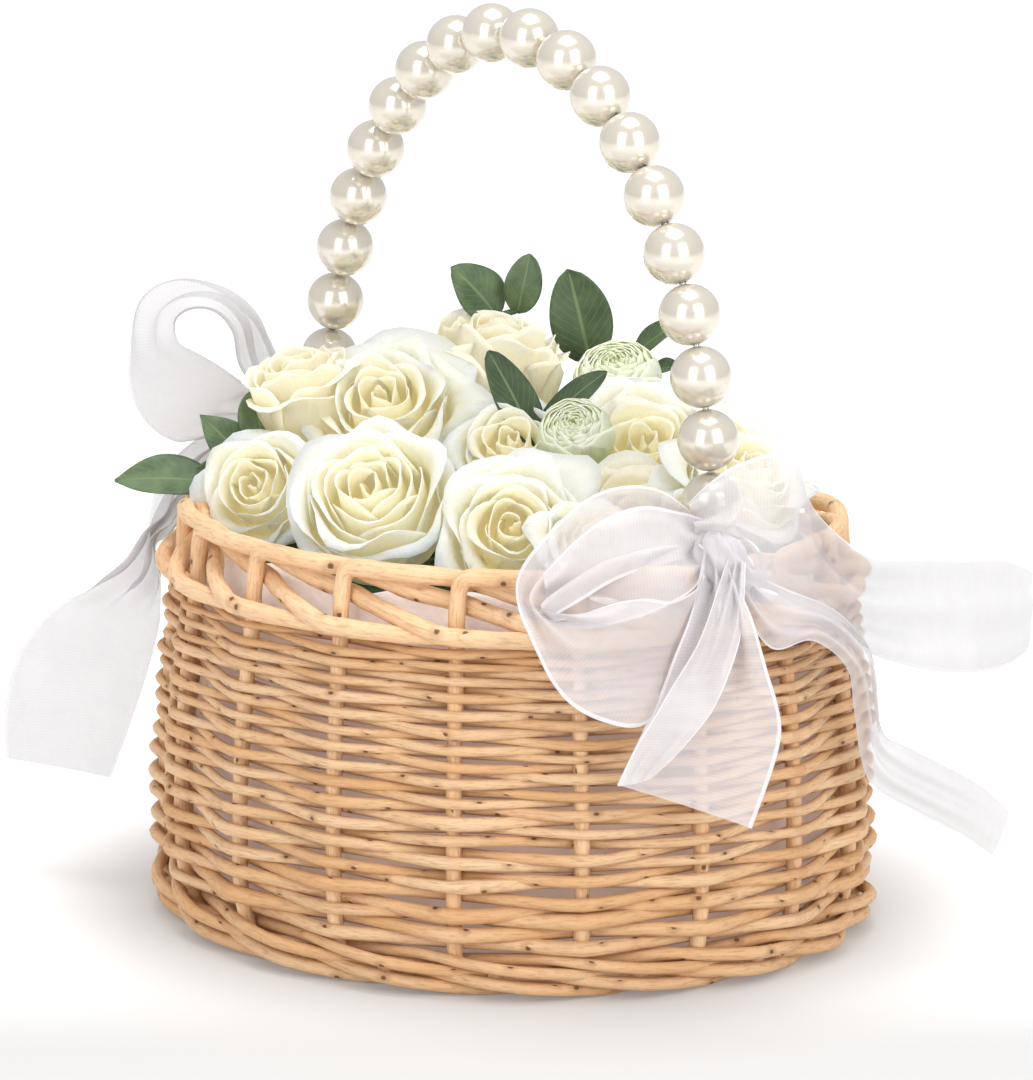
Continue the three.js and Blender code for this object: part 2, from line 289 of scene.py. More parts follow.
def organza_finish():
    made = Finish("white organza", Roughness=0.55, Sheen_Weight=0.08, Sheen_Roughness=0.4,
                  Specular_IOR_Level=0.2)
    across, along = made.uv_parts()
    hem = ((across - 0.5).size()).ramp(0.466, 0.474)
    warp = ((across * 430).wave() + 1) * 0.5
    weft = ((along * 2600).wave() + 1) * 0.5
    threads = (warp + weft) * 0.5
    cloud = made.noise(made.place(), 45, 3)
    slant = made.node("LayerWeight", None, {"Blend": 0.45}, "Facing")
    sheer = 0.49 + threads * 0.08 + cloud * 0.2 + slant * 0.16
    # Painted shade: the tone darkens the same white organza from (0.74, 0.71, 0.73) down to (0.50,
    # 0.49, 0.50). It is set piece by piece along each ribbon and is brightest in the knots.
    painted_shade_tint = made.mix(made.tone(), (0.50, 0.49, 0.50), (0.74, 0.71, 0.73))
    painted_shade_tint = made.mix(cloud.ramp(0.35, 0.7) * 0.3, painted_shade_tint, (0.80, 0.79, 0.81))
    made.set(Base_Color=made.mix(hem * 0.6, painted_shade_tint, (0.84, 0.83, 0.85)), Alpha=sheer + hem * 0.25)
    made.bump(threads, 0.15, 0.0002)
    return made.material


def foam_finish():
    made = Finish("floral foam", Roughness=0.95)
    pores = made.node("TexVoronoi", None, {"Vector": made.place(), "Scale": 700.0}, "Distance")
    patch = made.noise(made.place(), 90, 4)
    made.set(Base_Color=made.mix(patch, (0.035, 0.095, 0.045), (0.09, 0.18, 0.08)))
    made.bump(pores + patch, 0.6, 0.001)
    return made.material


def liner_finish():
    # Painted light: the film glows faintly (emission 0.16, warm white) so that it stays pale in the
    # shade inside the basket.
    made = Finish("liner film", Specular_IOR_Level=0.5, Coat_Weight=0.2,
                  Emission_Color=(1.0, 0.92, 0.89, 1.0), Emission_Strength=0.16)
    crease = made.noise(made.place(), 42, 5, 0.6)
    height = made.node("SeparateXYZ", None, [made.place()], "Z")
    colour = made.mix(crease.ramp(0.3, 0.7), (0.88, 0.80, 0.77), (0.95, 0.92, 0.90))
    colour = made.mix(height.ramp(0.108, 0.098), colour, (0.72, 0.48, 0.30))
    made.set(Base_Color=colour, Roughness=0.25 + crease * 0.3)
    made.bump(crease, 0.6, 0.004)
    return made.material


def stage_finish():
    made = Finish("pale floor", Roughness=0.9, Specular_IOR_Level=0.1)
    patch = made.noise(made.place(), 3, 2)
    reach = made.node("VectorMath", {"operation": "LENGTH"}, [made.place()], "Value")
    toward = made.node("VectorMath", {"operation": "DOT_PRODUCT"}, [made.place(), tuple(LOOK)],
                       "Value")
    # Painted shadow: the floor's own glow is dimmed near the basket. It is lowest (0.14) right
    # under it, and lower in front of it (0.165) than behind and at the sides (0.64), which paints a
    # soft contact shadow. Further out it rises to an even 0.68 so that the floor reads white.
    near_glow_painted_front_shadow = made.mix(toward.ramp(0.04, 0.16), (0.64, 0.645, 0.65), (0.165, 0.17, 0.175))
    glow = made.mix(reach.ramp(0.09, 0.19), (0.14, 0.14, 0.14), near_glow_painted_front_shadow)
    glow = made.mix(reach.ramp(0.22, 0.8), glow, (0.68, 0.68, 0.68))
    made.set(Base_Color=made.mix(patch, (0.55, 0.545, 0.54), (0.57, 0.565, 0.56)),
             Emission_Color=glow, Emission_Strength=1.0)
    return made.material


# ---- mesh making ----------------------------------------------------------------
class Pile:
    """Collects sheets and tubes of points in millimetres, and makes them one mesh."""

    def __init__(self):
        self.points = []
        self.faces = []
        self.uvs = []
        self.tones = []

    def grid(self, rows, uvs, tone=0.5, closed=False, capped=False):
        """rows of points joined into a sheet; closed joins each row's end to its start."""
        start = len(self.points)
        wide = len(rows[0])
        tones = tone if isinstance(tone, list) else [tone] * len(rows)
        for row, uv_row, row_tone in zip(rows, uvs, tones):
            self.points.extend(row)
            self.tones.extend([row_tone] * wide)
            self.uvs.extend(uv_row)
        columns = wide if closed else wide - 1
        for i in range(len(rows) - 1):
            for j in range(columns):
                k = (j + 1) % wide
                a = start + i * wide
                self.faces.append((a + j, a + k, a + wide + k, a + wide + j))
        if capped:
            last = start + (len(rows) - 1) * wide
            self.faces.append(tuple(start + j for j in reversed(range(wide))))
            self.faces.append(tuple(last + j for j in range(wide)))

    def tube(self, path, radii, tone=0.5, sides=10, ring=False):
        """A rod of varying radius along a path; ring joins its end to its start."""
        count = len(path)
        rows, uvs = [], []
        travelled = len(self.points) * 7.31 % 900
        side = None
        for i, here in enumerate(path):
            ahead = path[(i + 1) % count] if ring else path[min(i + 1, count - 1)]
            behind = path[i - 1] if ring else path[max(i - 1, 0)]
            along = (ahead - behind).normalized()
            if side is None:
                side = along.orthogonal().normalized()
                if ring:
                    side = Vector((0, 0, 1))
            side = (side - along * side.dot(along)).normalized()
            up = along.cross(side)
            if i:
                travelled += (here - path[i - 1]).length
            row, uv_row = [], []
            for j in range(sides):
                turn = 2 * math.pi * j / sides
                row.append(here + (side * math.cos(turn) + up * math.sin(turn)) * radii[i])
                uv_row.append((travelled, j / sides))
            rows.append(row)
            uvs.append(uv_row)
        if ring:
            rows.append(rows[0])
            uvs.append([(travelled, v) for _, v in uvs[0]])
        self.grid(rows, uvs, tone, closed=True, capped=not ring)
        if ring:
            self._weld_ring(len(rows), sides)

    def _weld_ring(self, rows, sides):
        """The last row repeats the first, so its faces use the first row's points."""
        first = len(self.points) - rows * sides
        last = len(self.points) - sides
        for n in range(len(self.faces) - sides, len(self.faces)):
            self.faces[n] = tuple(p - last + first if p >= last else p for p in self.faces[n])
        del self.points[last:]
        del self.tones[last:]
        del self.uvs[last:]

    def build(self, name, material, body, replaces=(), smooth=True):
        mesh = bpy.data.meshes.new(name)
        mesh.from_pydata([tuple(p * MM) for p in self.points], [], self.faces)
        layer = mesh.uv_layers.new(name="UVMap")
        corners = [0.0] * (2 * len(mesh.loops))
        for loop in mesh.loops:
            corners[2 * loop.index:2 * loop.index + 2] = self.uvs[loop.vertex_index]
        layer.data.foreach_set("uv", corners)
        tones = mesh.attributes.new("tone", "FLOAT", "POINT")
        tones.data.foreach_set("value", self.tones)
        mesh.polygons.foreach_set("use_smooth", [smooth] * len(mesh.polygons))
        mesh.materials.append(material)
        piece = bpy.data.objects.new(name, mesh)
        bpy.context.scene.collection.objects.link(piece)
        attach(piece, body)
        if replaces:
            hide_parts(*replaces)
        return piece


def between(first, second, share):
    return first + (second - first) * share


def smooth_path(knots, per_span, ring=False):
    """Points on a Catmull-Rom curve through knots of any equal-length tuples."""
    count = len(knots)
    spans = count if ring else count - 1
    made = []
    for i in range(spans):
        if ring:
            four = [knots[(i + d) % count] for d in (-1, 0, 1, 2)]
        else:
            four = [knots[min(max(i + d, 0), count - 1)] for d in (-1, 0, 1, 2)]
        for step in range(per_span):
            t = step / per_span
            weights = (-0.5 * t + t * t - 0.5 * t ** 3, 1 - 2.5 * t * t + 1.5 * t ** 3,
                       0.5 * t + 2 * t * t - 1.5 * t ** 3, -0.5 * t * t + 0.5 * t ** 3)
            made.append(tuple(sum(w * knot[n] for w, knot in zip(weights, four))
                              for n in range(len(knots[0]))))
    if not ring:
        made.append(tuple(knots[-1]))
    return made


# ---- the wall -------------------------------------------------------------------
WEAVE_BOX = node_box("side_weave_outer")
HALF_LONG = WEAVE_BOX[1].x
HALF_SHORT = WEAVE_BOX[1].y
WEAVE_TOP = WEAVE_BOX[1].z
WALE_TOP = node_box("foot_wale")[1].z
RIM_TOP = node_box("stakes_and_border")[1].z
BULGE_LOW = 28
BULGE_HIGH = 40
FOOT_TUCK = 0.07
RIM_TUCK = 0.083
STAKES = 18
STAKE_STEP = 360 / STAKES
FIRST_STAKE = 10
STAKE_INSET = 6.8
STAKE_RADIUS = 2.35


def wall(degrees, z, inset):
    """A point in the wall, inset from its outer face."""
    if z < BULGE_LOW:
        scale = 1 - FOOT_TUCK * ((BULGE_LOW - z) / BULGE_LOW) ** 2.2
    elif z > BULGE_HIGH:
        scale = 1 - RIM_TUCK * ((z - BULGE_HIGH) / (RIM_TOP - BULGE_HIGH)) ** 1.7
    else:
        scale = 1
    turn = math.radians(degrees)
    return Vector(((HALF_LONG * scale - inset) * math.cos(turn),
                   (HALF_SHORT * scale - inset) * math.sin(turn), z))


def zigzag(turn):
    """A triangular wave with rounded corners, like a rod bent round the stakes."""
    sharp = 0.985
    return math.asin(sharp * math.cos(turn)) / math.asin(sharp)


def weaver_row(pile, z, radius, phase, chance):
    """One rod round the basket, in front of one stake and behind the next."""
    per_stake = 10
    stations = STAKES * per_stake
    butt = chance.uniform(0, 360)
    lift = [chance.gauss(0, 0.27 * radius) for _ in range(STAKES)]
    girth = [chance.uniform(0.86, 1.14) for _ in range(STAKES)]
    press = [chance.gauss(0, 0.4) for _ in range(STAKES)]
    slant = chance.gauss(0, 0.16 * radius)
    path, radii = [], []
    for i in range(stations):
        degrees = FIRST_STAKE + 360 * i / stations
        stake = i // per_stake
        share = (i % per_stake) / per_stake
        ease = share * share * (3 - 2 * share)
        swing = zigzag(math.pi * i / per_stake + phase)
        local = between(girth[stake], girth[(stake + 1) % STAKES], ease)
        taper = 1.1 - 0.24 * ((degrees - butt) % 360) / 360
        thick = radius * local * taper * (0.84 + 0.16 * abs(swing))
        reach = 0.85 * STAKE_RADIUS + 0.66 * radius
        flat = 0.8 * (1 - abs(swing))
        inset = STAKE_INSET - swing * reach + flat
        inset += between(press[stake], press[(stake + 1) % STAKES], ease)
        rise = between(lift[stake], lift[(stake + 1) % STAKES], ease)
        tilt = slant * math.sin(math.pi * i / per_stake + phase)
        path.append(wall(degrees, z + rise + tilt, inset))
        radii.append(thick)
    pile.tube(path, radii, chance.uniform(0, 1), 9, ring=True)


def build_weave(finish):
    chance = random.Random(11)
    pile = Pile()
    z = WEAVE_TOP - 0.8
    phase = 0.0
    while z > WALE_TOP + 1.5:
        height = (z - WALE_TOP) / (WEAVE_TOP - WALE_TOP)
        weaver_row(pile, z, between(2.25, 1.3, height), phase, chance)
        z -= between(3.75, 1.95, height)
        phase = math.pi - phase
    pile.build("woven_side", finish, "root", ["side_weave_outer", "side_weave_inner"])


def wale_rod(pile, z, radius, strand, chance):
    """One of three rods of the foot: over two stakes, then behind one."""
    per_stake = 10
    stations = STAKES * per_stake
    path, radii = [], []
    for i in range(stations):
        turn = 2 * math.pi * (i / per_stake + strand) / 3
        swing = -1.333 * (0.6 * math.cos(turn) + 0.4 * zigzag(turn)) + 0.333
        reach = STAKE_RADIUS + 0.9 * radius
        inset = STAKE_INSET - swing * reach
        rise = 2.5 * zigzag(turn - math.pi / 2)
        path.append(wall(FIRST_STAKE + 360 * i / stations, z + rise, inset))
        radii.append(radius * (0.95 + 0.07 * math.sin(0.11 * i + strand)))
    pile.tube(path, radii, chance.uniform(0.1, 0.8), 10, ring=True)


def build_foot(finish):
    chance = random.Random(5)
    pile = Pile()
    for z, radius in ((4.6, 2.1), (9.9, 1.9)):
        for strand in range(3):
            wale_rod(pile, z, radius, strand, chance)
    for k in range(STAKES):
        degrees = FIRST_STAKE + STAKE_STEP * (k + chance.uniform(0.25, 0.6))
        inside = wall(degrees, 7.2, 16)
        outside = wall(degrees, 6.8, chance.uniform(0.4, 2.4))
        pile.tube([inside, between(inside, outside, 0.5), outside], [2.1, 2.1, 2.0], 0.4, 10)
    pile.build("foot_of_twisted_rods", finish, "root", ["foot_wale"])


def border_rod(pile, stake, chance):
    """A stake: up the wall, bent over behind the next two, and out in front of the third."""
    start = FIRST_STAKE + STAKE_STEP * stake
    jog = chance.uniform(-0.5, 0.5)
    lean = chance.uniform(-1.2, 1.2)
    low = [(0.0, z, STAKE_INSET, STAKE_RADIUS) for z in (2.2, 14, 30, 50, 70, 90)]
    knots = [*low, (0.0, 103, 6.8, 2.4), (0.0, 112, 6.0, 2.45), (0.015, 118.6, 5.4, 2.5),
             (0.045, 121.7, 5.2, 2.65), (0.12, 123.0, 5.1, 2.75),
             (0.30, 123.2 + 0.3 * jog, 5.1, 2.75), (0.55, 123.0 + 0.3 * jog, 5.6, 2.75),
             (0.80, 122.4, 7.8, 2.75), (1.0, 121.3, 10.7, 2.7),
             (1.25, 119.6, 11.0, 2.7), (1.5, 117.5 + jog, 10.8, 2.7), (1.75, 115.9, 11.0, 2.7),
             (2.0, 114.4, 11.1, 2.7), (2.22, 112.8, 8.6, 2.65), (2.5, 110.9 + 0.4 * jog, 4.6, 2.6),
             (2.78, 108.5, 1.7, 2.65), (2.90, 107.4, 0.9, 2.7), (2.98, 107.0, 0.7, 2.75),
             (3.10, 106.8, 0.9, 2.7),
             (3.4, 106.4, 1.7, 2.65), (3.7, 106.0, 3.6, 2.5), (3.93, 105.5, 5.6, 2.2)]
    samples = smooth_path(knots, 5)
    path = []
    for step, z, inset, _ in samples:
        tilt = lean * max(0.0, (z - 20) / 100) if step < 0.2 else lean * 0.5
        path.append(wall(start + STAKE_STEP * step + 0.4 * tilt, z, inset))
    radii = [sample[3] * (1 + 0.03 * math.sin(0.7 * n + stake)) for n, sample in enumerate(samples)]
    pile.tube(path, radii, chance.uniform(0.0, 0.6), 12)


def build_stakes(finish):
    chance = random.Random(23)
    pile = Pile()
    for stake in range(STAKES):
        border_rod(pile, stake, chance)
    pile.build("stakes_and_open_border", finish, "root",
               ["stakes_and_border", "border_tail_rods"])


def build_base(finish):
    """Concentric rods woven over and under the base sticks."""
    chance = random.Random(31)
    pile = Pile()
    ring = 0
    inset = 15.5
    while HALF_SHORT * (1 - FOOT_TUCK) - inset > 9:
        path, radii = [], []
        for i in range(144):
            swing = zigzag(math.pi * (i * 18 / 144 + ring))
            spot = wall(360 * i / 144, 3, inset)
            path.append(Vector((spot.x, spot.y, 4.1 + 1.9 * swing)))
            radii.append(1.95)
        pile.tube(path, radii, chance.uniform(0, 1), 8, ring=True)
        inset += 3.5
        ring += 1
    for k in range(STAKES):
        degrees = FIRST_STAKE + STAKE_STEP * k
        turn = math.radians(degrees)
        inner = Vector((7 * math.cos(turn), 7 * math.sin(turn), 4.1))
        outer = wall(degrees, 3, 14.5)
        outer.z = 4.1
        pile.tube([inner, between(inner, outer, 0.5), outer], [1.5, 1.8, 1.8], 0.5, 8)
    hub = [Vector((9 * math.cos(t * math.pi / 9), 9 * math.sin(t * math.pi / 9), 4.1))
           for t in range(18)]
    pile.tube(hub, [2.1] * 18, 0.4, 8, ring=True)
    pile.build("woven_base", finish, "root", ["base"])


def build_liner(finish):
    """A crumpled film cup between the weave and the foam."""
    chance = random.Random(3)
    waves = [(chance.uniform(0, 6.28), chance.choice((7, 11, 17, 23))) for _ in range(5)]
    rows, uvs = [], []
    heights = [9.4, 9.2, 12, 20, 35, 50, 65, 80, 92, 100, 106, 110, 113, 115.5]
    insets = [60, 18, 16.2] + [15.9] * 11
    for n, (z, inset) in enumerate(zip(heights, insets)):
        row, uv_row = [], []
        for j in range(144):
            degrees = 360 * j / 144
            crumple = sum(math.sin(math.radians(degrees) * k + p + z * 0.09) for p, k in waves)
            depth = inset + 0.28 * crumple * min(1, n / 4)
            point = wall(degrees, z, depth)
            if n == len(heights) - 1:
                point.z += 0.5 * crumple
            row.append(point)
            uv_row.append((j / 144, z / 100))
        rows.append(row)
        uvs.append(uv_row)
    pile = Pile()
    pile.grid(rows, uvs, closed=True)
    piece = pile.build("liner_film", finish, "root", ["liner"])
    skin = piece.modifiers.new("thickness", "SOLIDIFY")
    skin.thickness = 0.3 * MM
    skin.offset = 0


# ---- pearl handle ---------------------------------------------------------------
def bead_centre(n):
    low, high = node_box(f"pearl_{n:02d}")
    return (low + high) / 2


def build_pearls(finish):
    """Moulded beads with a small dished hole at each end, threaded on the wire."""
    for n in range(1, 21):
        name = f"pearl_{n:02d}"
        centre = bead_centre(n)
        radius = 9.0
        axis = (bead_centre(min(n + 1, 20)) - bead_centre(max(n - 1, 1))).normalized()
        turn = Vector((0, 0, 1)).rotation_difference(axis).to_matrix()
        outline = [(1.0, 6.5), (1.0, 8.5)]
        outline += [(radius * math.sin(a), radius * math.cos(a))
                    for a in (math.radians(8 + 164 * k / 40) for k in range(41))]
        outline += [(1.0, -8.5), (1.0, -6.5)]
        rows, uvs = [], []
        for r, z in outline:
            rows.append([turn @ Vector((r * math.cos(a), r * math.sin(a), z)) + centre
                         for a in (2 * math.pi * j / 48 for j in range(48))])
            uvs.append([(j / 48, z / 20) for j in range(48)])
        pile = Pile()
        pile.grid(rows, uvs, closed=True)
        pile.build(f"faux_{name}", finish, "handle", [name])


def build_wire(finish):
    high = node_box("handle_wire")[1]
    pivot = frame["record"]["behaviour"]["joints"][0]["pos_m"][2] / MM
    half = 95
    wire_radius = 0.9
    foot = [(104, pivot), (112, pivot), (116.6, pivot + 0.6), (118.2, pivot + 3), (118.2, 122),
            (116, 128), (110.5, 131), (104, 130.8), (98.5, 129.6), (95.8, 129.4), (95, 131.6)]
    arch = [(half * math.cos(t), 130 + (high.z - wire_radius - 130) * math.sin(t))
            for t in (math.radians(5 + 170 * k / 40) for k in range(41))]
    knots = foot + arch + [(-x, z) for x, z in reversed(foot)]
    path = [Vector((x, 0, z)) for x, z in smooth_path(knots, 4)]
    pile = Pile()
    pile.tube(path, [wire_radius] * len(path), 0.5, 10)
    pile.build("bead_wire", finish, "handle", ["handle_wire"])


# ---- flowers --------------------------------------------------------------------
def flower_place(name):
    """Centre and radius of a flower's head, and the cut end of its stem, from its solid."""
    points = [Vector(v.co) / MM for v in frame["nodes"][name].data.vertices]
    lowest = min(p.z for p in points)
    cut = [p for p in points if p.z < lowest + 2.5]
    foot = sum(cut, Vector()) / len(cut)
    far = max(points, key=lambda p: (p - foot).length)
    top = [p for p in points if (p - far).length < 14]
    axis = (sum(top, Vector()) / len(top) - foot).normalized()
    spread = max((p - foot - axis * (p - foot).dot(axis)).length for p in points)
    widest = max(points, key=lambda p: (p - foot - axis * (p - foot).dot(axis)).length)
    centre = foot + axis * (widest - foot).dot(axis)
    return centre, spread / 0.92, foot


def lean(azimuth, degrees):
    """An axis tipped from upright towards a compass azimuth (0 is +X)."""
    a = math.radians(azimuth)
    t = math.radians(degrees)
    return Vector((math.cos(a) * math.sin(t), math.sin(a) * math.sin(t), math.cos(t)))


def petal(pile, shape, place, chance):
    """One cupped petal. shape says how it stands; place turns and moves it."""
    across, up = 14, 11
    low, tall = shape["low"], shape["tall"]
    phase = chance.uniform(0, 6.28)
    waves = chance.choice((2.3, 3.1, 3.9))
    skew = chance.uniform(-0.12, 0.12)
    rows, uvs = [], []
    for i in range(up + 1):
        row, uv_row = [], []
        for j in range(across + 1):
            u = 2 * j / across - 1
            v = i / up
            crown = 1 - 0.30 * abs(u) ** 2.4 + 0.05 * (1 - abs(u)) ** 3
            s = v * crown
            rest = 1 - s
            radius = (rest ** 3 * shape["base"] + 3 * rest ** 2 * s * shape["belly"] * 1.12
                      + 3 * rest * s * s * shape["belly"] + s ** 3 * shape["top"])
            z = (rest ** 3 * low + 3 * rest ** 2 * s * (low + 0.12 * tall)
                 + 3 * rest * s * s * (low + 0.78 * tall) + s ** 3 * (low + tall))
            curl = max(0.0, (s - 0.74) / 0.26)
            radius += shape["curl"] * curl * curl
            z -= 0.62 * shape["curl"] * curl ** 2.5
            edge = max(0.0, (abs(u) - 0.62) / 0.38)
            radius += shape["flare"] * edge * edge * s * 1.1
            radius += shape["tuck"] * u
            ruffle = shape["ruffle"] * s ** 3
            radius += ruffle * math.sin(waves * u * 2 + phase)
            z += ruffle * 0.7 * math.cos(waves * u * 2.3 + phase)
            narrow = 0.62 + 0.38 * math.sin(min(1.0, 1.25 * s) * math.pi / 2)
            turn = shape["turn"] + (u + skew * s) * shape["wide"] * narrow
            row.append(place(Vector((radius * math.cos(turn), radius * math.sin(turn), z))))
            uv_row.append((j / across, v))
        rows.append(row)
        uvs.append(uv_row)
    pile.grid(rows, uvs, shape["layer"])


def rose_petals(size, opened, petals, chance):
    """Shapes of a rose's petals from its tight heart to its open outside."""
    shapes = []
    turn = chance.uniform(0, 6.28)
    for n in range(petals + 4):
        t = min(1.0, n / (petals - 1))
        guard = max(0, n - petals + 1) / 5
        turn += math.radians(137.5) + chance.uniform(-0.2, 0.2)
        bloom = opened * t ** 1.2 + 0.35 * guard
        shapes.append({
            "turn": turn,
            "layer": t,
            "base": size * between(0.05, 0.18, t),
            "belly": size * between(0.12, 0.80, t ** 0.8),
            "top": size * (between(0.06, 0.60, t ** 0.95) + 0.42 * bloom),
            "low": -size * 0.85,
            "tall": size * (between(1.42, 1.62, min(1, 2.5 * t)) - 0.62 * bloom
                            - 0.12 * guard + chance.uniform(-0.06, 0.06)),
            "curl": size * (0.015 + 0.30 * bloom) * chance.uniform(0.6, 1.35),
            "flare": size * (0.015 + 0.13 * bloom),
            "tuck": size * 0.05,
            "ruffle": size * (0.015 + 0.060 * t) * chance.uniform(0.5, 1.5),
            "wide": math.radians(between(125, 72, t ** 0.7)) * chance.uniform(0.9, 1.08),
        })
    return shapes


def ranunculus_petals(size, petals, chance):
    """Many thin round petals, closely layered round a tight middle."""
    shapes = []
    turn = 0.0
    for n in range(petals):
        t = n / (petals - 1)
        turn += math.radians(137.5) + chance.uniform(-0.1, 0.1)
        shapes.append({
            "turn": turn, "layer": 0.25 + 0.6 * t, "base": size * 0.1,
            "belly": size * between(0.16, 0.86, t ** 0.75), "top": size * between(0.05, 0.62, t),
            "low": -size * 0.6, "tall": size * between(1.12, 1.02, t), "curl": size * 0.02,
            "flare": size * 0.01, "tuck": size * 0.02, "ruffle": size * 0.018,
            "wide": math.radians(between(95, 48, t)),
        })
    return shapes


ROSES = {
    # name: (lean azimuth, lean degrees, size over the solid's radius, openness, petals,
    #        warm, (side, up) shift of the open head from the solid)
    "rose_front_left": (-58, 58, 0.98, 0.65, 15, False, (-3, -8)),
    "rose_front_middle": (-50, 44, 1.10, 0.50, 17, False, (6, -6)),
    "rose_front_right": (-38, 60, 1.06, 0.65, 16, False, (3, -6)),
    "rose_upper_left": (-45, 46, 1.42, 0.80, 17, False, (-4, -7)),
    "rose_centre": (-40, 46, 1.12, 0.70, 14, False, (3, -6)),
    "rose_back_left": (-100, 14, 1.15, 0.35, 14, True, (-4, -6)),
    "rose_back_bud": (60, 8, 1.25, 0.22, 15, True, (-1, -8)),
    "rose_right": (-35, 46, 1.20, 0.75, 17, False, (-2, -12)),
    "rose_right_rear": (10, 35, 1.15, 0.75, 15, False, (0, -6)),
    "rose_right_low": (-30, 48, 1.22, 0.75, 15, True, (0, -11)),
    "rose_fill_left": (165, 40, 1.40, 0.80, 15, False, (0, -4)),
    "rose_fill_back_left": (130, 45, 1.55, 0.70, 14, False, (0, -4)),
    "rose_fill_back": (95, 45, 1.40, 0.85, 16, False, (0, -4)),
    "rose_fill_back_right": (60, 45, 1.35, 0.80, 16, False, (0, -4)),
    "rose_fill_foot": (0, 40, 1.15, 0.60, 13, False, (0, -4)),
    "rose_fill_front_right": (-20, 45, 1.25, 0.70, 14, False, (0, -7)),
}


def build_flower(name, finish, stem_finish, petals_for, aim, size_factor, shift, seed):
    chance = random.Random(seed)
    centre, radius, foot = flower_place(name)
    centre += SIDE * shift[0] + Vector((0, 0, shift[1]))
    size = radius * size_factor
    turn = Vector((0, 0, 1)).rotation_difference(aim).to_matrix()
    pile = Pile()
    for shape in petals_for(size, chance):
        petal(pile, shape, lambda p: turn @ p + centre, chance)
    piece = pile.build(name + "_petals", finish, "root", [name])
    skin = piece.modifiers.new("thickness", "SOLIDIFY")
    skin.thickness = 0.3 * MM
    skin.offset = 0
    calyx = centre - aim * size * 0.80
    knots = [tuple(foot), tuple(between(foot, calyx, 0.6)), tuple(calyx - aim * 1.5), tuple(calyx)]
    path = [Vector(p) for p in smooth_path(knots, 6)]
    stem = Pile()
    stem.tube(path, [1.7 + (1.2 if n > len(path) - 4 else 0) for n in range(len(path))], 0.5, 8)
    for k in range(5):
        a = 2 * math.pi * k / 5 + seed
        rows, uvs = [], []
        for i in range(7):
            s = i / 6
            reach = size * (0.12 + 0.55 * math.sin(s * 1.5))
            drop = -0.84 * size + size * 0.5 * s ** 1.6
            half = size * 0.16 * math.sin(math.pi * min(1, 0.18 + 0.82 * s)) * (1 - s ** 3) + 0.1
            row = []
            for w in (-1, 0, 1):
                side = Vector((-math.sin(a), math.cos(a), 0)) * half * w
                point = Vector((math.cos(a) * reach, math.sin(a) * reach, drop)) + side
                row.append(turn @ point + centre)
            rows.append(row)
            uvs.append([(0.2, s), (0.5, s), (0.8, s)])
        stem.grid(rows, uvs, 0.8)
    inward = math.atan2(-foot.y, -foot.x)
    for k in range(4):
        a = inward + (k - 1.5) * 1.25 + chance.uniform(-0.3, 0.3)
        root = Vector((foot.x, foot.y, 110 + 1.5 * k))
        reach = chance.uniform(19, 25)
        tip = root + Vector((math.cos(a) * reach, math.sin(a) * reach, chance.uniform(-1, 5)))
        leaf_blade(stem, root, tip, Vector((0, 0, 1)), reach * 0.62, 0.22, 2.5, chance,
                   chance.uniform(0.2, 0.8))
    stem.build(name + "_stem", stem_finish, "root", ())


def build_flowers(petal_cream, petal_warm, petal_green, green):
    for seed, (name, rose) in enumerate(ROSES.items()):
        azimuth, tip, factor, opened, petals, warm, shift = rose
        aim = lean(azimuth, tip)
        build_flower(name, petal_warm if warm else petal_cream, green,
                     lambda size, chance, o=opened, p=petals: rose_petals(size, o, p, chance),
                     aim, factor, shift, 40 + seed)
    for seed, (name, azimuth, tip, drop) in enumerate((("ranunculus_back", -50, 30, -7),
                                                       ("ranunculus_middle", -50, 42, -3))):
        build_flower(name, petal_green, green,
                     lambda size, chance: ranunculus_petals(size, 60, chance),
                     lean(azimuth, tip), 1.12, (0, drop), 70 + seed)


# ---- leaves ---------------------------------------------------------------------
def leaf_blade(pile, root, tip, facing, width, fold, droop, chance, tone, round_end=False):
    """A leaf from root to tip, folded along its midrib and arched along its length."""
    along = tip - root
    length = along.length
    ahead = along.normalized()
    face = (facing - ahead * facing.dot(ahead)).normalized()
    across = ahead.cross(face)
    rows, uvs = [], []
    steps, half_steps = 18, 5
    wave = chance.uniform(0, 6.28)
    for i in range(steps + 1):
        s = i / steps
        if round_end:
            half = width / 2 * math.sqrt(max(0.0, math.sin(math.pi * s ** 0.9))) ** 1.1
        else:
            half = width / 2 * math.sin(math.pi * s ** 0.82) ** 0.9
        half = max(half, 0.25)
        arch = droop * math.sin(math.pi * s)
        row, uv_row = [], []
        for j in range(-half_steps, half_steps + 1):
            w = j / half_steps
            rise = fold * half * abs(w) + 0.05 * width * math.sin(7 * s + wave + 2 * w) * abs(w)
            row.append(root + ahead * length * s + across * half * w + face * (rise + arch))
            uv_row.append((0.5 + w / 2, s))
        rows.append(row)
        uvs.append(uv_row)
    pile.grid(rows, uvs, tone)


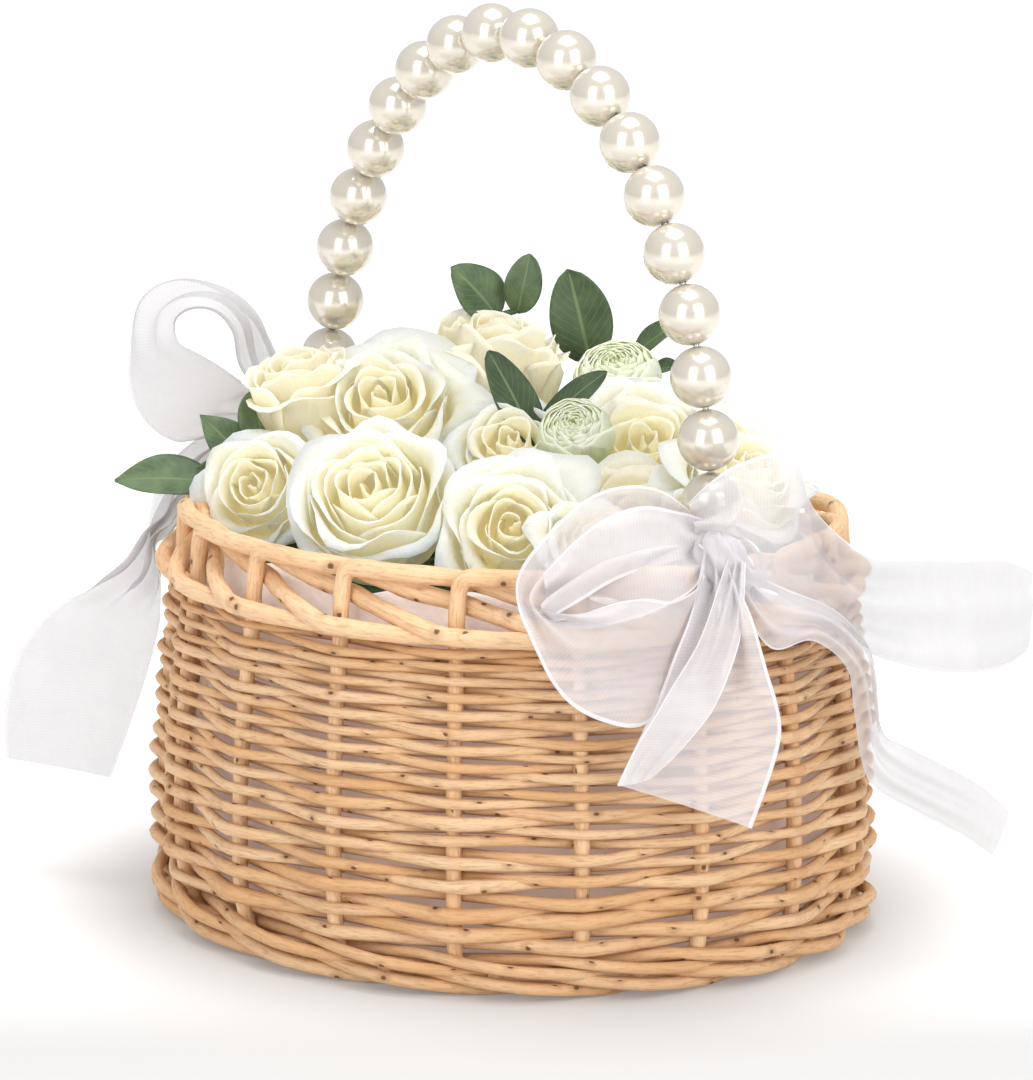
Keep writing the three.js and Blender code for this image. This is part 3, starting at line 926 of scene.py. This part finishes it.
SPRIGS = {
    # name: (paleness, stem knots, [(root, tip, width, round ended, faces up), ...]), with
    # places as (side, out, up)
    "sprig_back": (0.85, [(-10, -79, 92), (-9, -80, 140), (-7, -79, 166), (2, -78, 172)],
                   [((-4, -79, 169), (-19, -76, 186), 17, True, 0.5),
                    ((2, -78, 171), (6, -78, 190), 12, True, 0.2)]),
    "sprig_back_right": (0.3, [(22, -72, 92), (23, -73, 140), (24, -73, 158)],
                         [((25, -73, 156), (18, -72, 186), 20, True, 0.3)]),
    "sprig_far_right": (0.6, [(45, -64, 92), (44, -66, 135), (38, -66, 158)],
                        [((38, -66, 159), (58, -60, 173), 10, False, 0.6),
                         ((40, -66, 152), (54, -52, 158), 9, False, 0.6)]),
    "sprig_middle": (0.1, [(11, -3, 92), (10, -2, 130), (9, 2, 144), (8, 3, 150)],
                     [((8, 3, 143), (-7, -6, 171), 13, True, 0.5),
                      ((8, 3, 147), (29, -4, 165), 9.5, True, 0.6)]),
    "sprig_left": (1.0, [(-75, -30, 92), (-78, -28, 124), (-84, -26, 130)],
                   [((-90, -22, 127), (-122, -22, 128), 17, False, 0.55),
                    ((-84, -26, 124), (-97, -14, 133), 14, False, 0.5),
                    ((-80, -27, 131), (-96, -30, 147), 13, False, 0.4),
                    ((-76, -27, 136), (-80, -34, 154), 13, True, 0.4)]),
}


def build_sprigs(green):
    chance = random.Random(17)
    for name, (paleness, stem, blades) in SPRIGS.items():
        pile = Pile()
        knots = [tuple(spot(*knot)) for knot in stem]
        path = [Vector(p) for p in smooth_path(knots, 6)]
        pile.tube(path, [1.3 - 0.5 * n / len(path) for n in range(len(path))], 0.5, 8)
        for root, tip, width, round_end, upward in blades:
            facing = LOOK * (1 - upward) + Vector((0, 0, upward))
            leaf_blade(pile, spot(*root), spot(*tip), facing, width, 0.24, 1.6, chance, paleness,
                       round_end)
        piece = pile.build(name + "_leaves", green, "root", [name])
        skin = piece.modifiers.new("thickness", "SOLIDIFY")
        skin.thickness = 0.3 * MM
        skin.offset = 0


# ---- organza bows ---------------------------------------------------------------
# Each ribbon is a list of stations along it. A station holds its two edges, and an
# edge is (side, out, up) as spot() takes them.
RIBBONS = {
    "bow_right_loops": [
        ((55, 104, 137), (57, 106, 132)), ((41, 100, 147), (44, 112, 131)),
        ((25, 102, 147), (29, 120, 128)), ((10, 108, 136), (18, 124, 122)),
        ((2, 116, 124), (11, 126, 117)), ((6, 126, 111), (22, 130, 120)),
        ((14, 128, 95), (36, 132, 124)), ((26, 126, 87), (45, 130, 123)),
        ((39, 122, 86), (52, 124, 125)), ((51, 114, 102), (56, 116, 129)),
        ((55, 110, 126), (58, 110, 132))],
    "bow_right_tails": [
        ((55, 110, 133), (60, 110, 133)), ((52, 118, 118), (67, 122, 118)),
        ((45, 121, 101), (72, 128, 102)), ((38, 122, 85), (76, 130, 84)),
        ((30, 123, 68), (68, 130, 57))],
    "bow_right_tail_far": [
        ((50, 105, 146), (53, 111, 134)), ((57, 103, 152), (60, 112, 129)),
        ((66, 101, 157), (67, 112, 123)), ((79, 97, 158), (77, 108, 119)),
        ((87, 88, 140), (89, 96, 109)), ((102, 76, 125), (100, 84, 99)),
        ((116, 66, 122), (115, 72, 91)), ((132, 54, 119), (132, 60, 86)),
        ((146, 44, 117), (146, 48, 85)), ((155, 38, 112), (154, 40, 88))],
    "bow_right_tail_low": [
        ((66, 110, 127), (64, 114, 122)), ((79, 106, 121), (74, 111, 105)),
        ((94, 95, 112), (86, 101, 105)), ((105, 82, 97), (97, 88, 94)),
        ((108, 73, 81), (100, 78, 79)), ((110, 68, 69), (102, 72, 65)),
        ((117, 62, 64), (107, 66, 53)), ((129, 53, 56), (120, 56, 43)),
        ((141, 46, 48), (134, 49, 34)), ((149, 43, 40), (144, 44, 26))],
    "bow_left_loop": [
        ((-67, -88, 135), (-70, -76, 144)), ((-73, -92, 154), (-84, -74, 153)),
        ((-80, -94, 169), (-87, -72, 166)), ((-92, -96, 179), (-93, -70, 172)),
        ((-107, -96, 181), (-101, -68, 173)), ((-119, -94, 173), (-106, -66, 170)),
        ((-122, -88, 157), (-104, -62, 164)), ((-119, -84, 139), (-92, -62, 157)),
        ((-107, -82, 129), (-83, -66, 150)), ((-86, -86, 129), (-76, -76, 145)),
        ((-71, -90, 130), (-68, -84, 138))],
    "bow_left_tail": [
        ((-82, -96, 130), (-84, -94, 124)), ((-96, -86, 130), (-97, -84, 116)),
        ((-107, -70, 122), (-107, -68, 106)), ((-113, -54, 108), (-111, -48, 102)),
        ((-120, -44, 96), (-109, -34, 96)), ((-130, -38, 91), (-108, -24, 92)),
        ((-142, -36, 85), (-109, -20, 82)), ((-153, -34, 72), (-112, -16, 70)),
        ((-158, -32, 55), (-117, -14, 55)), ((-158, -30, 38), (-124, -13, 36))],
    # two folds over the right bow
    "bow_right_inner_fold": [
        ((57, 108, 140), (57, 113, 132)), ((48, 108, 144), (51, 117, 123)),
        ((38, 109, 146), (40, 119, 117)), ((27, 112, 143), (28, 121, 114)),
        ((17, 115, 136), (19, 122, 113)), ((9, 118, 128), (11, 121, 114))],
    "bow_right_tail_fold": [
        ((62, 114, 131), (66, 116, 131)), ((54, 124, 112), (64, 127, 111)),
        ((43, 128, 94), (58, 132, 94)), ((35, 129, 80), (48, 133, 81)),
        ((30, 129, 69), (39, 133, 72))],
}
RIBBON_WIDTH = 38
NARROW_RIBBONS = {"bow_right_inner_fold": 27, "bow_right_tail_fold": 17, "bow_right_tail_low": 22}


# painted light and shade: how bright the same white organza is painted by its knot and at its end,
# and how far along it changes; low values paint it grey
PAINTED_ORGANZA_SHADING = {"bow_right_tail_far": (0.7, 0.15, 0.42), "bow_right_tail_low": (1.0, 0.2, 0.62),
              "bow_left_loop": (0.3, 0.3, 0.5), "bow_left_tail": (0.05, 0.05, 0.5)}


def build_ribbon(name, stations, finish, seed):
    """A strip between two smooth edges, gathered into pleats where it narrows."""
    chance = random.Random(seed)
    width = NARROW_RIBBONS.get(name, RIBBON_WIDTH)
    across, per_span = 24, 10
    edges = smooth_path([(*first, *second) for first, second in stations], per_span)
    count = len(edges)
    phase = chance.uniform(0, 6.28)
    rows, uvs = [], []
    travelled = 0.0
    middle = None
    for n, edge in enumerate(edges):
        first, second = spot(*edge[:3]), spot(*edge[3:])
        ahead = edges[min(n + 1, count - 1)]
        behind = edges[max(n - 1, 0)]
        along = (spot(*ahead[:3]) + spot(*ahead[3:]) - spot(*behind[:3]) - spot(*behind[3:]))
        face = along.cross(second - first).normalized()
        here = (first + second) / 2
        if middle is not None:
            travelled += (here - middle).length
        middle = here
        wide = (second - first).length
        gather = max(0.0, 1 - wide / width)
        depth = math.sqrt(max(0.0, (0.9 * width) ** 2 - wide * wide)) / 9.9
        if "tail" in name:
            depth *= min(1.0, 0.1 + (1 - n / (count - 1)) / 0.22)
        s = n / (count - 1)
        row, uv_row = [], []
        for j in range(across + 1):
            w = j / across
            pleat = depth * math.sin(w * 15 + phase + 2 * s)
            sway = 1.3 * math.sin(6.5 * s + 3.2 * w + phase) + 0.7 * math.sin(17 * s - 5 * w)
            sway *= math.sin(math.pi * min(1, 1.2 * s + 0.1))
            belly = -1.6 * math.sin(math.pi * w) * (1 - gather)
            row.append(between(first, second, w) + face * (pleat + sway + belly))
            uv_row.append((w, travelled / RIBBON_WIDTH / 10))
        rows.append(row)
        uvs.append(uv_row)
    pile = Pile()
    # painted shade along the ribbon: the tone runs from its value by the knot to its value at the
    # far end
    first, last, change = PAINTED_ORGANZA_SHADING.get(name, (0.95, 0.95, 0.5))
    pile.grid(rows, uvs, [between(first, last, min(1, max(0, 5 * (n / (count - 1) - change) + 0.5)))
                          for n in range(count)])
    solid = [name] if name in frame["nodes"] else []
    piece = pile.build(name + "_organza", finish, "root", solid)
    width * MM
    return piece


def build_knot(name, path, girths, finish):
    """Puckered ribbon gathered into a knot and tied back round the wire."""
    stations = smooth_path([(*spot(*at), *girth) for at, girth in zip(path, girths)], 10)
    rows, uvs = [], []
    for n, (x, y, z, broad, deep) in enumerate(stations):
        here = Vector((x, y, z))
        ahead = Vector(stations[min(n + 1, len(stations) - 1)][:3])
        behind = Vector(stations[max(n - 1, 0)][:3])
        along = (ahead - behind).normalized()
        side = (LOOK.cross(along)).normalized()
        front = along.cross(side)
        row, uv_row = [], []
        for j in range(60):
            turn = 2 * math.pi * j / 60
            pucker = (1 + 0.10 * math.sin(9 * turn + 0.25 * n)
                      + 0.05 * math.sin(16 * turn - 0.2 * n))
            ring = side * math.cos(turn) * broad + front * math.sin(turn) * deep
            row.append(here + ring * pucker)
            uv_row.append((j / 60, n / 300))
        rows.append(row)
        uvs.append(uv_row)
    pile = Pile()
    pile.grid(rows, uvs, 1.0, closed=True, capped=True)
    pile.build(name + "_organza", finish, "root", [name])


def build_bows(finish):
    for seed, (name, stations) in enumerate(RIBBONS.items()):
        build_ribbon(name, stations, finish, 90 + seed)
    build_knot("bow_right_knot",
               [(58, 108, 139), (58, 110, 135), (60, 111, 130), (64, 110, 125), (70, 104, 121),
                (72, 101, 119.5), (72, 100, 119)],
               [(2, 2), (6.5, 4), (7, 5), (6, 4.5), (4.5, 3.5), (3.5, 3), (1.5, 1.5)], finish)
    build_knot("bow_left_knot",
               [(-66, -84, 142), (-69, -87, 138), (-74, -91, 133), (-80, -96, 128),
                (-84, -97, 123)],
               [(2, 2), (5.5, 4), (5, 4.5), (5.5, 4), (2, 2)], finish)


# ---- stage and light ------------------------------------------------------------
def build_stage():
    """A pale floor that fills the view behind the basket."""
    corners = [LOOK * out + SIDE * side for out, side in
               ((-9000, -9000), (9000, -9000), (9000, 9000), (-9000, 9000))]
    mesh = bpy.data.meshes.new("floor")
    mesh.from_pydata([tuple(p * MM) for p in corners], [], [(0, 1, 2, 3)])
    mesh.materials.append(stage_finish())
    floor = bpy.data.objects.new("floor", mesh)
    bpy.context.scene.collection.objects.link(floor)


def soft_light(name, place, size, watts, colour=(1, 1, 1)):
    lamp = bpy.data.lights.new(name, "AREA")
    lamp.shape = "RECTANGLE"
    lamp.size, lamp.size_y = size
    lamp.energy = watts
    lamp.color = colour
    holder = bpy.data.objects.new(name, lamp)
    bpy.context.scene.collection.objects.link(holder)
    holder.location = spot(*place) * MM
    aim = Vector((0, 0, 0.12)) - holder.location
    holder.rotation_euler = aim.to_track_quat("-Z", "Y").to_euler()


def light_studio():
    world = bpy.data.worlds.new("studio")
    bpy.context.scene.world = world
    world.use_nodes = True
    world.node_tree.nodes["Background"].inputs[0].default_value = (1, 1, 1, 1)
    world.node_tree.nodes["Background"].inputs[1].default_value = 0.60
    soft_light("right_panel", (880, 1200, 750), (0.85, 1.3), 10.5, (1, 0.99, 0.975))
    soft_light("left_panel", (-700, 1200, 650), (0.7, 1.3), 6.5, (1, 0.99, 0.98))
    soft_light("top_panel", (60, 60, 1400), (0.75, 0.75), 10)
    bpy.context.scene.view_settings.view_transform = "Standard"


# ---- assembly -------------------------------------------------------------------
make_camera()
side_willow = willow_finish("side willow", (0.81, 0.555, 0.335), (0.70, 0.40, 0.19),
                            (0.40, 0.20, 0.085))
stake_willow = willow_finish("stake willow", (0.88, 0.61, 0.37), (0.80, 0.47, 0.24),
                             (0.50, 0.27, 0.115))
build_weave(side_willow)
build_foot(side_willow)
build_stakes(stake_willow)
build_base(side_willow)
build_liner(liner_finish())
foam_piece = frame["nodes"]["floral_foam"]
foam_piece.data.materials.clear()
foam_piece.data.materials.append(foam_finish())
build_pearls(pearl_finish())
build_wire(wire_finish())
green_leaf = leaf_finish("leaf green", (0.055, 0.095, 0.045), (0.135, 0.20, 0.095),
                         (0.17, 0.24, 0.11))
build_flowers(
    petal_finish("cream petal", (0.95, 0.79, 0.32), (0.96, 0.90, 0.64), (0.86, 0.93, 0.93), 0.6),
    petal_finish("warm petal", (0.90, 0.72, 0.31), (0.95, 0.87, 0.58), (0.95, 0.92, 0.76), 0.6),
    petal_finish("green petal", (0.42, 0.55, 0.16), (0.80, 0.85, 0.52), (0.93, 0.92, 0.80), 0.6),
    green_leaf)
build_sprigs(green_leaf)
build_bows(organza_finish())
build_stage()
light_studio()
